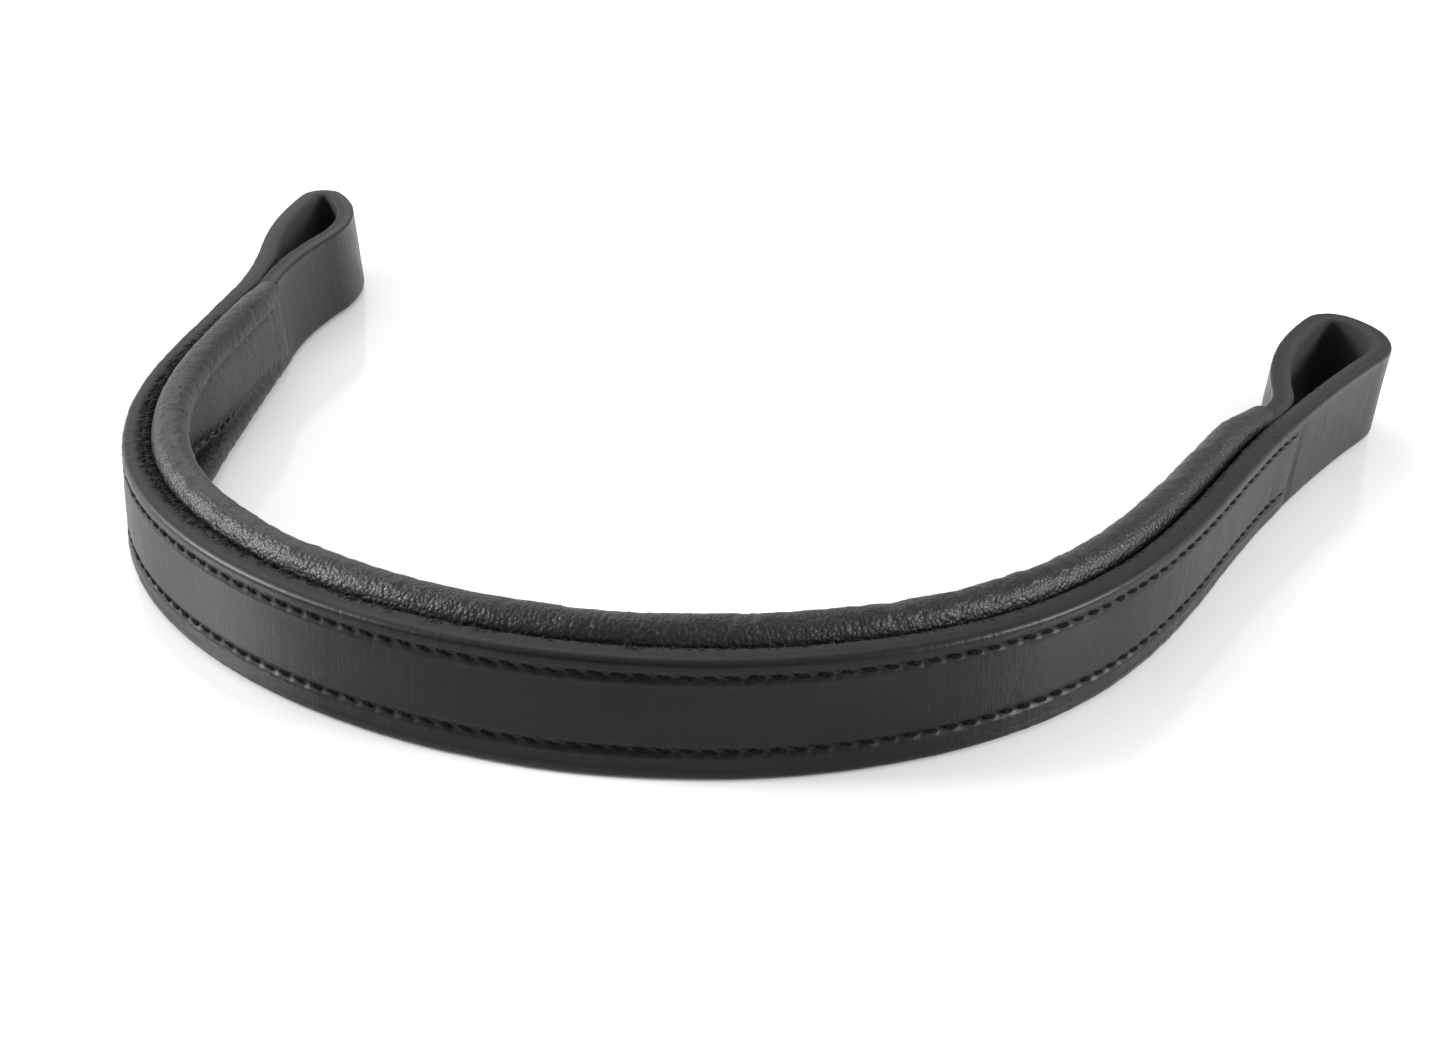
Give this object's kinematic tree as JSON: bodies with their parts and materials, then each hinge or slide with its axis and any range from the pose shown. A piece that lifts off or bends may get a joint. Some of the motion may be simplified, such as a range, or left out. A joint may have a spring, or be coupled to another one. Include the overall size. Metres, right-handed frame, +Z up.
{
  "type": "bridle browband",
  "caption": "Padded leather bridle browband: a curved strap with a soft rolled lining, two stitch rows and a turned-back open loop at each end.",
  "frame": {"origin": "middle of the flat under the lower roll at the front, on which the browband stands", "axes": "+Z up along the strap width, +X to the wearer-side right arm as drawn, +Y from the front towards the two end loops"},
  "size_m": [0.2107, 0.1514, 0.018],
  "materials": {
    "bridle_leather": "black bridle leather, smooth grain, waxed satin sheen",
    "lining_leather": "soft black pebble-grained leather, low sheen",
    "foam": "closed-cell foam strip, matt, hidden",
    "thread": "waxed black thread, low sheen"
  },
  "bodies": {
    "front": {"face_strap_front": "bridle_leather", "lining_front": "lining_leather", "roll_foam_front": "foam", "pad_foam_front": "foam", "lower_foam_front": "foam", "needle_upper_front": "thread", "needle_lower_front": "thread", "bobbin_upper_front": "thread", "bobbin_lower_front": "thread"},
    "right_temple": {"face_strap_temple_right": "bridle_leather", "lining_temple_right": "lining_leather", "roll_foam_temple_right": "foam", "pad_foam_temple_right": "foam", "lower_foam_temple_right": "foam", "needle_upper_temple_right": "thread", "needle_lower_temple_right": "thread", "bobbin_upper_temple_right": "thread", "bobbin_lower_temple_right": "thread"},
    "left_temple": {"face_strap_temple_left": "bridle_leather", "lining_temple_left": "lining_leather", "roll_foam_temple_left": "foam", "pad_foam_temple_left": "foam", "lower_foam_temple_left": "foam", "needle_upper_temple_left": "thread", "needle_lower_temple_left": "thread", "bobbin_upper_temple_left": "thread", "bobbin_lower_temple_left": "thread"},
    "right_arm": {"face_strap_arm_right": "bridle_leather", "lining_arm_right": "lining_leather", "roll_foam_arm_right": "foam", "pad_foam_arm_right": "foam", "lower_foam_arm_right": "foam", "needle_upper_arm_right": "thread", "needle_lower_arm_right": "thread", "bobbin_upper_arm_right": "thread", "bobbin_lower_arm_right": "thread", "tail_right": "bridle_leather"},
    "left_arm": {"face_strap_arm_left": "bridle_leather", "lining_arm_left": "lining_leather", "roll_foam_arm_left": "foam", "pad_foam_arm_left": "foam", "lower_foam_arm_left": "foam", "needle_upper_arm_left": "thread", "needle_lower_arm_left": "thread", "bobbin_upper_arm_left": "thread", "bobbin_lower_arm_left": "thread", "tail_left": "bridle_leather"},
    "right_loop": {"loop_right": "bridle_leather"},
    "left_loop": {"loop_left": "bridle_leather"}
  },
  "joints": [
    {"name": "right_temple_flex", "type": "hinge", "parent": "front", "child": "right_temple", "pos_m": [0.045, 0.01131, 0.0085], "axis": [0, 0, -1], "range_deg": [-12, 15], "stiffness_Nm_per_rad": 0.03},
    {"name": "right_arm_flex", "type": "hinge", "parent": "right_temple", "child": "right_arm", "pos_m": [0.07434, 0.05001, 0.0085], "axis": [0, 0, -1], "range_deg": [-12, 15], "stiffness_Nm_per_rad": 0.03},
    {"name": "right_loop_flex", "type": "hinge", "parent": "right_arm", "child": "right_loop", "pos_m": [0.088, 0.09788, 0.0085], "axis": [0, 0, -1], "range_deg": [-15, 15], "stiffness_Nm_per_rad": 0.02},
    {"name": "left_temple_flex", "type": "hinge", "parent": "front", "child": "left_temple", "pos_m": [-0.045, 0.01131, 0.0085], "axis": [0, 0, 1], "range_deg": [-12, 15], "stiffness_Nm_per_rad": 0.03},
    {"name": "left_arm_flex", "type": "hinge", "parent": "left_temple", "child": "left_arm", "pos_m": [-0.07434, 0.05001, 0.0085], "axis": [0, 0, 1], "range_deg": [-12, 15], "stiffness_Nm_per_rad": 0.03},
    {"name": "left_loop_flex", "type": "hinge", "parent": "left_arm", "child": "left_loop", "pos_m": [-0.0865, 0.09159, 0.0085], "axis": [0, 0, 1], "range_deg": [-15, 15], "stiffness_Nm_per_rad": 0.02}
  ]
}
